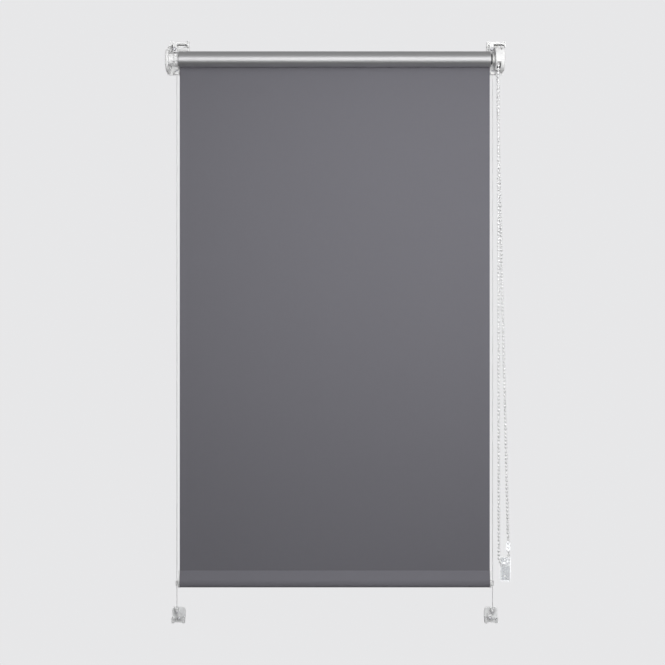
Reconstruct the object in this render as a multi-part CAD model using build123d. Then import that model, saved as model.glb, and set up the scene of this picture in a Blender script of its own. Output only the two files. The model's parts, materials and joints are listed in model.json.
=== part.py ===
from build123d import *
import math
import os

# Side-guided roller blind that clamps onto a window sash without drilling.
# All lengths are millimetres. +X is to the right seen from the room, +Y points to the
# window, +Z is up. The origin lies on the sash's room face, at its top edge, in the
# middle of the cloth's width.

# ---------------------------------------------------------------- driving dimensions
CLOTH_WIDTH = 500.0
CLOTH_THICKNESS = 0.45
HEM_BOTTOM_Z = -875.5
HEM_HEIGHT = 26.7
SASH_THICKNESS = 18.0
SASH_HEIGHT = 928.0

AXIS_Y = -23.0
AXIS_Z = -26.0
ROLL_RADIUS = 12.35
TUBE_RADIUS = 8.5
TUBE_WALL = 0.8
TAPE_THICKNESS = 0.22
FIT = 0.04                     # radial clearance of a turning or sliding fit
GAP = 0.3                      # gap between loose neighbours

HOOK_WIDTH = 26.0
HOOK_THICKNESS = 3.0
HOOK_MID_X = {"left": -250.0, "right": 260.4}
CLAMP_SCREW_OFFSET = -7.5      # from the hook's middle, on both brackets
PLATE_BACK_Y = -1.0            # back of a bracket plate, in front of its foam pad
PLATE_FRONT_Y = -4.0
PLATE_BOTTOM_Z = -48.0
HOOK_TAB_Y = -13.2             # front of the hook's threaded tab

CLIP_WIDTH = 17.0
CLIP_MID_X = 252.5
CLIP_SCREW_X = 249.5
CLIP_HEIGHT = 20.0

CORD_RADIUS = 0.55
CORD_X = 254.5

BEAD_RADIUS = 2.25
BEAD_PITCH = 6.0
STRING_RADIUS = 0.6
SPROCKET_POCKETS = 12
SPROCKET_X = 261.0
STRAND_PITCHES = 134
LOOP_PITCHES = 4               # chain pitches round half of the tensioner's post
LOOP_MID_X = 273.0

HOUSING_RADIUS = 19.2
HOUSING_WALL = 2.2
COVER_X = 256.5
BASE_X = 265.3
FLANGE_X = 268.1
RIGHT_END_X = 271.3

TENSIONER_MID_X = 276.0
TENSIONER_HEIGHT = 38.0
TENSIONER_HOLE_X = 274.5
TENSIONER_HOLE_DROP = 1.5      # of the upper screw hole, below the loop's centre
TENSIONER_SCREW_SPACING = 26.0
TENSIONER_HOLE_RADIUS = 1.7

# ---------------------------------------------------------------- worked-out sizes
HALF_WIDTH = CLOTH_WIDTH / 2
TUBE_BORE = TUBE_RADIUS - TUBE_WALL
SHEET_Y = AXIS_Y + ROLL_RADIUS + GAP + CLOTH_THICKNESS / 2
HEM_TOP_Z = HEM_BOTTOM_Z + HEM_HEIGHT
PITCH_RADIUS = BEAD_PITCH / 2 / math.sin(math.pi / SPROCKET_POCKETS)
LOOP_RADIUS = BEAD_PITCH / 2 / math.sin(math.pi / 2 / LOOP_PITCHES)
TENSIONER_CHAIN_Y = -5.6


# ---------------------------------------------------------------- small shapes
def block(x0, x1, y0, y1, z0, z1):
    return Pos((x0 + x1) / 2, (y0 + y1) / 2, (z0 + z1) / 2) * Box(x1 - x0, y1 - y0, z1 - z0)


def rod_x(x0, x1, radius, y=AXIS_Y, z=AXIS_Z):
    return Pos((x0 + x1) / 2, y, z) * Rot(0, 90, 0) * Cylinder(radius, x1 - x0)


def rod_y(y0, y1, radius, x, z):
    return Pos(x, (y0 + y1) / 2, z) * Rot(90, 0, 0) * Cylinder(radius, y1 - y0)


def rod_z(z0, z1, radius, x, y):
    return Pos(x, y, (z0 + z1) / 2) * Cylinder(radius, z1 - z0)


def ring_x(x0, x1, outer, inner):
    return rod_x(x0, x1, outer) - rod_x(x0 - 1, x1 + 1, inner)


def slab_x(profile, x0, x1):
    """A profile drawn in (y, z), extruded from x0 to x1."""
    return Pos(x0, 0, 0) * extrude(Plane.YZ * profile, amount=x1 - x0)


def outline(*points):
    return make_face(Polyline(*points, close=True))


def disc(y, z, radius):
    return Pos(y, z) * Circle(radius)


def rectangle(y0, y1, z0, z1):
    return Pos((y0 + y1) / 2, (z0 + z1) / 2) * Rectangle(y1 - y0, z1 - z0)


def coil_x(x0, turns, pitch, mean_radius, wire_radius):
    """A helical spring round the roller's axis, starting at x0."""
    path = Helix(pitch, pitch * turns, mean_radius)
    section = Plane(origin=path @ 0, z_dir=path % 0) * Circle(wire_radius)
    return Pos(x0, AXIS_Y, AXIS_Z) * Rot(0, 90, 0) * sweep(section, path=path)


def pan_screw_y(x, z, tip_y, length, radius, head_radius, head_height):
    """A cross-head screw along Y, its head towards the room."""
    head_y = tip_y - length
    head = rod_y(head_y - head_height, head_y, head_radius, x, z)
    rim = head.edges().filter_by(GeomType.CIRCLE).sort_by(Axis.Y)[0]
    head = fillet(rim, head_height * 0.45)
    recess_depth = head_height * 0.6
    recess_y = head_y - head_height + recess_depth
    for wide, tall in ((head_radius * 1.2, 0.8), (0.8, head_radius * 1.2)):
        head -= block(x - wide / 2, x + wide / 2, head_y - head_height - 1, recess_y,
                      z - tall / 2, z + tall / 2)
    shank = rod_y(head_y - 0.2, tip_y, radius, x, z)
    tip = shank.edges().filter_by(GeomType.CIRCLE).sort_by(Axis.Y)[-1]
    return head + chamfer(tip, radius * 0.35)


# ---------------------------------------------------------------- clamps
# A clamp is an L-shaped hook that goes over (up = 1) or under (up = -1) an edge of the
# sash. Heights s are counted from that edge, away from the sash. A screw is threaded
# through the hook's front tab and pushes on the bracket plate, which pulls the hook's
# rubber-faced lip against the back of the sash.
HOOK_UNDER_S = 0.3
HOOK_OVER_S = HOOK_UNDER_S + HOOK_THICKNESS
HOOK_PAD_THICKNESS = 1.5
LIP_THICKNESS = 2.6
LIP_Y = SASH_THICKNESS + HOOK_PAD_THICKNESS
LIP_DEPTH = 11.0
TAB_THICKNESS = 3.0
SCREW_S = {1: -9.0, -1: -5.6}   # the screw's height in the top hooks and the bottom jaws
TAB_BELOW_SCREW = 4.0
CHEEK_THICKNESS = 1.8
CHEEK_CLEARANCE = 0.15
CHEEK_LEDGE = 2.0


def s_block(x0, x1, y0, y1, s0, s1, edge_z, up):
    z0, z1 = sorted((edge_z + up * s0, edge_z + up * s1))
    return block(x0, x1, y0, y1, z0, z1)


def clamp_hook(mid_x, width, screw_x, screw_radius, tab_width, edge_z, up):
    """The sliding L-shaped hook with its threaded tab."""
    x0, x1 = mid_x - width / 2, mid_x + width / 2
    hook = s_block(x0, x1, HOOK_TAB_Y, LIP_Y + LIP_THICKNESS, HOOK_UNDER_S, HOOK_OVER_S, edge_z, up)
    hook += s_block(x0, x1, LIP_Y, LIP_Y + LIP_THICKNESS, -LIP_DEPTH, HOOK_UNDER_S + 0.1, edge_z, up)
    far_edge = hook.edges().filter_by(Axis.X).sort_by_distance(
        (mid_x, LIP_Y + LIP_THICKNESS, edge_z + up * HOOK_OVER_S))[0]
    hook = fillet(far_edge, 2.0)
    inner_edge = hook.edges().filter_by(Axis.X).sort_by_distance(
        (mid_x, LIP_Y, edge_z + up * HOOK_UNDER_S))[0]
    hook = fillet(inner_edge, 0.8)
    hook += s_block(screw_x - tab_width / 2, screw_x + tab_width / 2, HOOK_TAB_Y,
                    HOOK_TAB_Y + TAB_THICKNESS, SCREW_S[up] - TAB_BELOW_SCREW, HOOK_UNDER_S + 0.1,
                    edge_z, up)
    for rib_x in (x0 + 3.5, mid_x, x1 - 3.5):
        hook += s_block(rib_x - 0.6, rib_x + 0.6, 2.0, LIP_Y - 1.0, HOOK_OVER_S - 0.1,
                        HOOK_OVER_S + 0.8, edge_z, up)
    screw_z = edge_z + up * SCREW_S[up]
    return hook - rod_y(HOOK_TAB_Y - 1, HOOK_TAB_Y + TAB_THICKNESS + 1, screw_radius + FIT,
                        screw_x, screw_z)


def clamp_hook_pad(mid_x, width, edge_z, up):
    """The ribbed rubber face of the hook's lip."""
    x0, x1 = mid_x - width / 2 + 1, mid_x + width / 2 - 1
    pad = s_block(x0, x1, SASH_THICKNESS + 0.5, LIP_Y, -LIP_DEPTH + 0.5, -1.2, edge_z, up)
    for k in range(4):
        s = -LIP_DEPTH + 0.5 + k * 2.55
        pad += s_block(x0, x1, SASH_THICKNESS, SASH_THICKNESS + 0.6, s, s + 1.6, edge_z, up)
    return pad


def clamp_guide(mid_x, width, edge_z, up, depth_s):
    """The two grooved cheeks on a bracket plate that the hook slides between."""
    guide = None
    for side in (-1, 1):
        inner = mid_x + side * (width / 2 + CHEEK_CLEARANCE)
        x0, x1 = sorted((inner, inner + side * CHEEK_THICKNESS))
        cheek = s_block(x0, x1, PLATE_FRONT_Y - 10, PLATE_BACK_Y, depth_s, HOOK_OVER_S + 1.6,
                        edge_z, up)
        l0, l1 = sorted((inner - side * CHEEK_LEDGE, inner + side * 0.1))
        cheek += s_block(l0, l1, PLATE_FRONT_Y - 10, PLATE_BACK_Y, HOOK_OVER_S + 0.15,
                         HOOK_OVER_S + 1.6, edge_z, up)
        cheek += s_block(l0, l1, PLATE_FRONT_Y - 10, PLATE_BACK_Y, HOOK_UNDER_S - 1.6,
                         HOOK_UNDER_S - 0.15, edge_z, up)
        guide = cheek if guide is None else guide + cheek
    return guide


# ---------------------------------------------------------------- top brackets
FLANGE_LEFT_X = (-270.2, -265.4)
SOCKET_FACE_X = -257.3
SOCKET_SPIGOT = 5.0
COLLAR_RADIUS = 9.6
PIN_RADIUS = 3.0
PLATE_TOP_Z = -1.0
ANCHOR_TOP_Z = -44.0
SASH_PAD_X = {"left": (-269.0, -236.5), "right": (247.0, 270.0)}
CORD_ANCHOR_X = {"left": (-258.5, -250.6), "right": (250.6, 258.2)}


def sash_pad(x0, x1, z0, z1):
    """A foam pad between a plate and the sash."""
    return block(x0, x1, PLATE_BACK_Y, 0, z0, z1)


def carrier_left():
    x0 = FLANGE_LEFT_X[0]
    x1 = HOOK_MID_X["left"] + HOOK_WIDTH / 2 + 1.9
    carrier = block(x0, x1, PLATE_FRONT_Y, PLATE_BACK_Y, PLATE_BOTTOM_Z, PLATE_TOP_Z)
    flange = disc(AXIS_Y, AXIS_Z - 2.6, 18.2) + rectangle(AXIS_Y, PLATE_BACK_Y, AXIS_Z - 20.8, AXIS_Z + 15.6)
    flange = slab_x(flange, *FLANGE_LEFT_X)
    front_rims = flange.edges().filter_by(GeomType.CIRCLE)
    flange = fillet(front_rims, 1.2)
    carrier += flange
    carrier += clamp_guide(HOOK_MID_X["left"], HOOK_WIDTH, 0, 1, -4.0)
    for rib_z in (AXIS_Z + 7, AXIS_Z - 12):
        rib = outline((PLATE_FRONT_Y + 0.1, rib_z - 6), (PLATE_FRONT_Y + 0.1, rib_z + 6),
                      (PLATE_FRONT_Y - 7, rib_z + 1), (PLATE_FRONT_Y - 7, rib_z - 1))
        carrier += slab_x(rib, FLANGE_LEFT_X[1] - 0.1, FLANGE_LEFT_X[1] + 2.0)
    return carrier - rod_x(FLANGE_LEFT_X[0] - 1, FLANGE_LEFT_X[1] + 1, SOCKET_SPIGOT)


def idle_socket():
    """The hub that the spring-loaded pin of the roll turns in."""
    hub = rod_x(FLANGE_LEFT_X[1], SOCKET_FACE_X, 8.7)
    rim = hub.edges().filter_by(GeomType.CIRCLE).sort_by(Axis.X)[-1]
    hub = fillet(rim, 1.0)
    hub += rod_x(FLANGE_LEFT_X[0], FLANGE_LEFT_X[1] + 0.1, SOCKET_SPIGOT)
    return hub - rod_x(SOCKET_FACE_X - 6.0, SOCKET_FACE_X + 1, PIN_RADIUS + FIT)


def carrier_right():
    x0 = HOOK_MID_X["right"] - HOOK_WIDTH / 2 - 1.9
    carrier = block(x0, RIGHT_END_X, PLATE_FRONT_Y, PLATE_BACK_Y, PLATE_BOTTOM_Z, PLATE_TOP_Z)
    flange = disc(AXIS_Y, AXIS_Z, HOUSING_RADIUS)
    flange += rectangle(AXIS_Y, PLATE_BACK_Y, AXIS_Z - HOUSING_RADIUS, AXIS_Z + HOUSING_RADIUS)
    flange = slab_x(flange, FLANGE_X, RIGHT_END_X)
    outer_rim = flange.edges().filter_by(GeomType.CIRCLE).sort_by(Axis.X)[-1]
    carrier += fillet(outer_rim, 1.0)
    ear_x = HOOK_MID_X["right"] + HOOK_WIDTH / 2 + 1.9
    carrier += block(RIGHT_END_X - 0.1, ear_x, PLATE_FRONT_Y, PLATE_BACK_Y, -12.0, PLATE_TOP_Z)
    carrier += clamp_guide(HOOK_MID_X["right"], HOOK_WIDTH, 0, 1, -4.0)
    side = CORE_SQUARE + 2 * FIT
    return carrier - block(FLANGE_X - 1, RIGHT_END_X + 1, AXIS_Y - side / 2, AXIS_Y + side / 2,
                           AXIS_Z - side / 2, AXIS_Z + side / 2)


def cord_anchor(x0, x1, cord_x):
    """The nose under a bracket that a guide cord hangs from."""
    nose = block(x0, x1, SHEET_Y - 3.6, PLATE_FRONT_Y, ANCHOR_TOP_Z - 4.4, ANCHOR_TOP_Z)
    front = nose.edges().filter_by(Axis.Z).group_by(Axis.Y)[0]
    nose = fillet(front, 1.5)
    return nose - rod_z(ANCHOR_TOP_Z - 5, ANCHOR_TOP_Z + 1, CORD_RADIUS + FIT, cord_x, SHEET_Y)


# ---------------------------------------------------------------- roll
def fabric_tape():
    """The adhesive strip that holds the cloth's first turn on the tube."""
    half_angle = 20
    reach = TUBE_RADIUS * 2
    wedge = outline((0, 0), (-reach, reach * math.tan(math.radians(half_angle))),
                    (-reach, -reach * math.tan(math.radians(half_angle))))
    band = Circle(TUBE_RADIUS + TAPE_THICKNESS) - Circle(TUBE_RADIUS)
    strip = Pos(AXIS_Y, AXIS_Z) * (band & wedge)
    return slab_x(strip, -HALF_WIDTH + 2, HALF_WIDTH - 2)


PLUG_SHOULDER_X = -HALF_WIDTH - 0.1
PLUG_INNER_X = -222.0
PIN_FLANGE_X = -240.0
PIN_TIP_X = SOCKET_FACE_X - 5.2
COLLAR_FACE_X = SOCKET_FACE_X + 0.3


def idle_plug():
    """The tube's left end plug: a ribbed collar outside, a barrel for the pin inside."""
    plug = rod_x(COLLAR_FACE_X, PLUG_SHOULDER_X, COLLAR_RADIUS)
    ribs = 10
    for k in range(ribs):
        angle = 360 / ribs * (k + 0.5)
        slot = Box(COLLAR_RADIUS, 2.6, 2.4)
        slot = Rot(angle, 0, 0) * Pos(0, 0, COLLAR_RADIUS) * slot
        plug -= Pos(COLLAR_FACE_X + 3.2, AXIS_Y, AXIS_Z) * slot
    plug += rod_x(PLUG_SHOULDER_X - 1, PLUG_INNER_X, TUBE_BORE - FIT / 2)
    plug -= rod_x(COLLAR_FACE_X - 1, PLUG_INNER_X + 1, PIN_RADIUS + FIT)
    return plug - rod_x(PIN_FLANGE_X, PLUG_INNER_X - 2.0, 4.6)


def idle_pin():
    """The spring-loaded pin. A flange keeps it in the plug."""
    pin = rod_x(PIN_TIP_X, PIN_FLANGE_X + 12.0, PIN_RADIUS)
    tip = pin.edges().filter_by(GeomType.CIRCLE).sort_by(Axis.X)[0]
    pin = chamfer(tip, 0.8)
    pin -= rod_x(PIN_FLANGE_X + 2.0, PIN_FLANGE_X + 13, 1.7)
    pin -= ring_x(PIN_FLANGE_X + 1.8, PIN_FLANGE_X + 13, PIN_RADIUS + 1, 2.4)
    return pin + ring_x(PIN_FLANGE_X, PIN_FLANGE_X + 1.8, 4.5, 1.0)


def idle_spring():
    """The compression spring behind the pin's flange."""
    turns = 7
    wire = 0.45
    start = PIN_FLANGE_X + 1.8 + wire + 0.02
    room = PLUG_INNER_X - 2.0 - wire - 0.02 - start
    return coil_x(start, turns, room / turns, 3.7, wire)


# ---------------------------------------------------------------- chain drive
CORE_RADIUS = 4.0
CORE_SQUARE = 8.0
CORE_TIP_X = 234.5
CORE_FLANGE_RADIUS = 7.0
CLIP_X = (236.6, 237.4)
SPIGOT_RADIUS = 6.0
SPIGOT_END_X = 238.4
SPRING_POCKET_RADIUS = 5.3
SPROCKET_WIDTH = 6.4
SPROCKET_RADIUS = 11.6
KEY_WIDTH = 2.0


def drive_core():
    """The fixed axle: a shaft, a flange in the housing and a square in the bracket."""
    core = rod_x(CORE_TIP_X, BASE_X + 0.1, CORE_RADIUS)
    tip = core.edges().filter_by(GeomType.CIRCLE).sort_by(Axis.X)[0]
    core = chamfer(tip, 0.6)
    core += rod_x(BASE_X, FLANGE_X, CORE_FLANGE_RADIUS)
    half = CORE_SQUARE / 2
    core += block(FLANGE_X - 0.1, RIGHT_END_X, AXIS_Y - half, AXIS_Y + half,
                  AXIS_Z - half, AXIS_Z + half)
    return core - ring_x(CLIP_X[0] - 0.02, CLIP_X[1] + 0.02, CORE_RADIUS + 1, CORE_RADIUS - 0.6)


def core_clip():
    """The retaining clip in the core's groove."""
    clip = ring_x(*CLIP_X, SPIGOT_RADIUS - 0.4, CORE_RADIUS - 0.56)
    return clip - block(CLIP_X[0] - 1, CLIP_X[1] + 1, AXIS_Y - 2.2, AXIS_Y + 2.2,
                        AXIS_Z - 8, AXIS_Z)


def clutch_springs():
    """Two wrap springs round the core. They lock the roll wherever the chain leaves it."""
    springs = []
    wire = 0.4
    for start in (240.0, 250.0):
        springs.append(coil_x(start, 8, 1.0, CORE_RADIUS + wire + 0.05, wire))
    return Compound(children=springs)


def sprocket():
    """The chain wheel with a keyed spigot that goes into the tube's drive plug."""
    x0 = SPROCKET_X - SPROCKET_WIDTH / 2
    x1 = SPROCKET_X + SPROCKET_WIDTH / 2
    wheel = rod_x(x0, x1, SPROCKET_RADIUS)
    wheel -= ring_x(SPROCKET_X - STRING_RADIUS - 0.3, SPROCKET_X + STRING_RADIUS + 0.3,
                    SPROCKET_RADIUS + 1, PITCH_RADIUS - STRING_RADIUS - 0.5)
    for k in range(SPROCKET_POCKETS):
        angle = math.radians(360 / SPROCKET_POCKETS * k)
        y = AXIS_Y + PITCH_RADIUS * math.cos(angle)
        z = AXIS_Z + PITCH_RADIUS * math.sin(angle)
        wheel -= Pos(SPROCKET_X, y, z) * Sphere(BEAD_RADIUS + 0.1)
    wheel += rod_x(SPIGOT_END_X, x0 + 0.1, SPIGOT_RADIUS)
    for side in (-1, 1):
        z = AXIS_Z + side * (SPIGOT_RADIUS + 0.35)
        wheel += block(SPIGOT_END_X, HALF_WIDTH + 1, AXIS_Y - KEY_WIDTH / 2, AXIS_Y + KEY_WIDTH / 2,
                       z - 0.5, z + 0.5)
    wheel += rod_x(x1 - 0.1, BASE_X - 0.2, CORE_RADIUS + 2.5)
    wheel -= rod_x(SPIGOT_END_X - 1, BASE_X + 1, CORE_RADIUS + FIT)
    return wheel - rod_x(SPIGOT_END_X - 1, SPROCKET_X, SPRING_POCKET_RADIUS)


def drive_plug():
    """The tube's right end plug, with keyways for the sprocket's spigot."""
    plug = rod_x(226.0, HALF_WIDTH + 0.2, TUBE_BORE - FIT / 2)
    plug += rod_x(HALF_WIDTH + 0.1, HALF_WIDTH + 2.4, TUBE_RADIUS)
    for k in range(8):
        groove = Rot(45 * k + 22.5, 0, 0) * Pos(0, 0, TUBE_RADIUS) * Box(1.6, 1.8, 1.2)
        plug -= Pos(HALF_WIDTH + 1.6, AXIS_Y, AXIS_Z) * groove
    plug -= rod_x(229.0, HALF_WIDTH + 4, SPIGOT_RADIUS + FIT)
    depth = SPIGOT_RADIUS + 0.35 + 0.5 + 0.1
    half_key = KEY_WIDTH / 2 + 0.1
    return plug - block(SPIGOT_END_X - 1, HALF_WIDTH + 4, AXIS_Y - half_key, AXIS_Y + half_key,
                        AXIS_Z - depth, AXIS_Z + depth)


SCREW_PLACES = [(16.3, 50), (16.3, 130), (16.3, 270)]   # radius and angle round the axis
SCREW_RADIUS = 1.0
BOSS_RADIUS = 1.9
HOUSING_BACK_Y = PLATE_FRONT_Y - 0.05
CHAIN_EXIT_Z = AXIS_Z - 7.0
NOTCH_RADIUS = 1.4


def housing_outline(radius, back_y):
    """A disc round the axis with a flat back."""
    return disc(AXIS_Y, AXIS_Z, radius) & rectangle(AXIS_Y - 30, back_y, AXIS_Z - 30, AXIS_Z + 30)


def around(radius, degrees):
    angle = math.radians(degrees)
    return AXIS_Y + radius * math.cos(angle), AXIS_Z + radius * math.sin(angle)


def sight_notch():
    """A round hole at the front of the seam between cover and base."""
    return rod_y(-44, -29, NOTCH_RADIUS, BASE_X + 0.3, AXIS_Z + 14.0)


def housing_cover():
    """The shell over the sprocket, open below the axis where the chain runs out."""
    cover = rod_x(COVER_X, BASE_X, HOUSING_RADIUS)
    cover = fillet(cover.edges().filter_by(GeomType.CIRCLE).sort_by(Axis.X)[0], 1.1)
    cover -= block(COVER_X - 1, BASE_X + 1, HOUSING_BACK_Y, HOUSING_BACK_Y + 30, -60, 20)
    inner = housing_outline(HOUSING_RADIUS - HOUSING_WALL, HOUSING_BACK_Y - 2)
    cover -= slab_x(inner, COVER_X + 1.3, BASE_X + 1)
    cover -= block(COVER_X + 1.3, BASE_X + 1, -60, 0, -60, CHAIN_EXIT_Z)
    for radius, degrees in SCREW_PLACES:
        y, z = around(radius, degrees)
        cover += rod_x(COVER_X + 1.2, BASE_X, BOSS_RADIUS, y, z)
        cover -= rod_x(COVER_X + 3.0, BASE_X + 1, SCREW_RADIUS, y, z)
    cover -= rod_x(COVER_X - 1, COVER_X + 2, SPIGOT_RADIUS + 1.0)
    return cover - sight_notch()


def housing_base():
    """The plate that closes the chain housing on the bracket's side."""
    base = slab_x(housing_outline(HOUSING_RADIUS, HOUSING_BACK_Y), BASE_X, FLANGE_X)
    base -= rod_x(BASE_X - 1, FLANGE_X + 1, CORE_FLANGE_RADIUS)
    for radius, degrees in SCREW_PLACES:
        y, z = around(radius, degrees)
        base -= rod_x(BASE_X - 1, FLANGE_X + 1, SCREW_RADIUS + 0.1, y, z)
        base -= rod_x(FLANGE_X - 1.4, FLANGE_X + 1, BOSS_RADIUS - 0.1, y, z)
    return base - sight_notch()


def housing_screws():
    """The screws that hold cover and base together, driven from the bracket's side."""
    screws = []
    for radius, degrees in SCREW_PLACES:
        y, z = around(radius, degrees)
        screw = rod_x(COVER_X + 3.2, FLANGE_X - 1.0, SCREW_RADIUS, y, z)
        screw += rod_x(FLANGE_X - 1.4, FLANGE_X - 0.1, BOSS_RADIUS - 0.1, y, z)
        slot = block(FLANGE_X - 0.6, FLANGE_X + 1, y - 0.25, y + 0.25, z - 1.4, z + 1.4)
        screws.append(screw - slot)
    return Compound(children=screws)


# ---------------------------------------------------------------- bead chain
# A closed loop: over the sprocket (a loop in the YZ plane), down both strands, and round
# the tensioner's post, where the loop lies flat against the sash (in the XZ plane).
TOP_FRONT = Vector(SPROCKET_X, AXIS_Y - PITCH_RADIUS, AXIS_Z)
TOP_BACK = Vector(SPROCKET_X, AXIS_Y + PITCH_RADIUS, AXIS_Z)
LOOP_LEFT_X = LOOP_MID_X - LOOP_RADIUS
LOOP_RIGHT_X = LOOP_MID_X + LOOP_RADIUS
STRAND_LENGTH = STRAND_PITCHES * BEAD_PITCH


def strand_foot(top, foot_x):
    """The bottom end of a strand of the chain's length that reaches foot_x."""
    dx = foot_x - top.X
    dy = TENSIONER_CHAIN_Y - top.Y
    drop = math.sqrt(STRAND_LENGTH ** 2 - dx ** 2 - dy ** 2)
    return Vector(foot_x, TENSIONER_CHAIN_Y, top.Z - drop)


FRONT_FOOT = strand_foot(TOP_FRONT, LOOP_LEFT_X)
BACK_FOOT = strand_foot(TOP_BACK, LOOP_RIGHT_X)
LOOP_Z = (FRONT_FOOT.Z + BACK_FOOT.Z) / 2


def straight_beads(count):
    """A straight string of beads up the Z axis, as one turned solid."""
    neck_rise = math.sqrt(BEAD_RADIUS ** 2 - STRING_RADIUS ** 2)
    edges = []
    for k in range(count):
        z = k * BEAD_PITCH
        low = (0, z - BEAD_RADIUS) if k == 0 else (STRING_RADIUS, z - neck_rise)
        high = (0, z + BEAD_RADIUS) if k == count - 1 else (STRING_RADIUS, z + neck_rise)
        edges.append(ThreePointArc(low, (BEAD_RADIUS, z), high))
        if k < count - 1:
            edges.append(Line(high, (STRING_RADIUS, z + BEAD_PITCH - neck_rise)))
    edges.append(Line((0, (count - 1) * BEAD_PITCH + BEAD_RADIUS), (0, -BEAD_RADIUS)))
    return revolve(Plane.XZ * make_face(edges), Axis.Z)


def strand(foot, top):
    """The string of beads from a foot up to the sprocket."""
    place = Plane(origin=foot, z_dir=top - foot)
    return place * straight_beads(STRAND_PITCHES + 1)


def neck(start, end):
    """The piece of string between two beads."""
    middle = (start + end) / 2
    return Plane(origin=middle, z_dir=end - start) * Cylinder(STRING_RADIUS, (end - start).length)


def bead_chain():
    chain = [strand(FRONT_FOOT, TOP_FRONT), strand(BACK_FOOT, TOP_BACK)]
    over = []
    for k in range(SPROCKET_POCKETS // 2 + 1):
        y, z = around(PITCH_RADIUS, 360 / SPROCKET_POCKETS * k)
        over.append(Vector(SPROCKET_X, y, z))
    under = [FRONT_FOOT]
    for k in range(1, LOOP_PITCHES):
        angle = math.radians(180 + 180 / LOOP_PITCHES * k)
        x = LOOP_MID_X + LOOP_RADIUS * math.cos(angle)
        under.append(Vector(x, TENSIONER_CHAIN_Y, LOOP_Z + LOOP_RADIUS * math.sin(angle)))
    under.append(BACK_FOOT)
    for places in (over, under):
        for place in places[1:-1]:
            chain.append(Pos(place.X, place.Y, place.Z) * Sphere(BEAD_RADIUS))
        for start, end in zip(places, places[1:]):
            chain.append(neck(start, end))
    return chain[0].fuse(*chain[1:])


CONNECTOR_RADIUS = 3.3
CONNECTOR_BORE = BEAD_RADIUS + GAP
CONNECTOR_LENGTH = 15.0
CONNECTOR_HEIGHT = 20.0        # along the back strand, above its foot


def chain_connector():
    """The clear clip that joins the chain's two ends, on the back strand."""
    sleeve = Cylinder(CONNECTOR_RADIUS, CONNECTOR_LENGTH)
    sleeve = chamfer(sleeve.edges().filter_by(GeomType.CIRCLE), 0.3)
    sleeve -= Cylinder(CONNECTOR_BORE, CONNECTOR_LENGTH + 2)
    for z in (-4.2, 4.2):
        sleeve -= Pos(0, -CONNECTOR_RADIUS, z) * Box(2.0, 3.0, 4.0)
    axis = (TOP_BACK - BACK_FOOT).normalized()
    return Plane(origin=BACK_FOOT + axis * CONNECTOR_HEIGHT, x_dir=(1, 0, 0), z_dir=axis) * sleeve


# ---------------------------------------------------------------- chain tensioner
TENSIONER_TOP_Z = LOOP_Z + 2.0
TENSIONER_BOTTOM_Z = TENSIONER_TOP_Z - TENSIONER_HEIGHT
TENSIONER_BACK_Y = -0.8
TENSIONER_FLOOR_Y = -2.6
TENSIONER_COVER_Y = (-10.6, -8.6)
POST_RADIUS = LOOP_RADIUS - BEAD_RADIUS - GAP


def tensioner_hole():
    holes = None
    upper_z = LOOP_Z - TENSIONER_HOLE_DROP
    for z in (upper_z, upper_z - TENSIONER_SCREW_SPACING):
        hole = rod_y(-20, 1, TENSIONER_HOLE_RADIUS, TENSIONER_HOLE_X, z)
        holes = hole if holes is None else holes + hole
    return holes


def tensioner_pad():
    """The adhesive pad behind the tensioner."""
    pad = block(TENSIONER_MID_X - 8, TENSIONER_MID_X + 8, TENSIONER_BACK_Y, 0,
                TENSIONER_BOTTOM_Z + 0.4, TENSIONER_TOP_Z - 0.4)
    return pad - tensioner_hole()


def tensioner_body():
    """The back plate with the post that the chain loops round and a foot block."""
    x0, x1 = TENSIONER_MID_X - 8.5, TENSIONER_MID_X + 8.5
    body = block(x0, x1, TENSIONER_FLOOR_Y, TENSIONER_BACK_Y, TENSIONER_BOTTOM_Z, TENSIONER_TOP_Z)
    body = fillet(body.edges().filter_by(Axis.Y), 1.5)
    post = rod_y(TENSIONER_COVER_Y[1], TENSIONER_FLOOR_Y + 0.1, POST_RADIUS, LOOP_MID_X, LOOP_Z)
    body += post - block(x0 - 5, x1 + 5, -20, 0, TENSIONER_TOP_Z, TENSIONER_TOP_Z + 20)
    body += block(x0 + 2, x1 - 2, TENSIONER_COVER_Y[1], TENSIONER_FLOOR_Y + 0.1,
                  TENSIONER_BOTTOM_Z + 1, LOOP_Z - LOOP_RADIUS - BEAD_RADIUS - 3)
    return body - tensioner_hole()


def tensioner_cover():
    """The clear front plate with cross ribs."""
    x0, x1 = TENSIONER_MID_X - 7, TENSIONER_MID_X + 7
    cover = block(x0, x1, TENSIONER_COVER_Y[0] + 0.6, TENSIONER_COVER_Y[1],
                  TENSIONER_BOTTOM_Z, TENSIONER_TOP_Z)
    cover = fillet(cover.edges().filter_by(Axis.Y), 1.5)
    ribs = 4
    for k in range(ribs):
        z = TENSIONER_BOTTOM_Z + 2.5 + (TENSIONER_HEIGHT - 5) / (ribs - 1) * k
        cover += block(x0 + 1, x1 - 1, TENSIONER_COVER_Y[0], TENSIONER_COVER_Y[0] + 0.7,
                       z - 0.8, z + 0.8)
    return cover - tensioner_hole()


# ---------------------------------------------------------------- cloth and bottom rail
HEM_HALF_THICKNESS = 4.5
HEM_BELLY_Z = HEM_BOTTOM_Z + 9.0      # the height at which the hem is thickest


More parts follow.
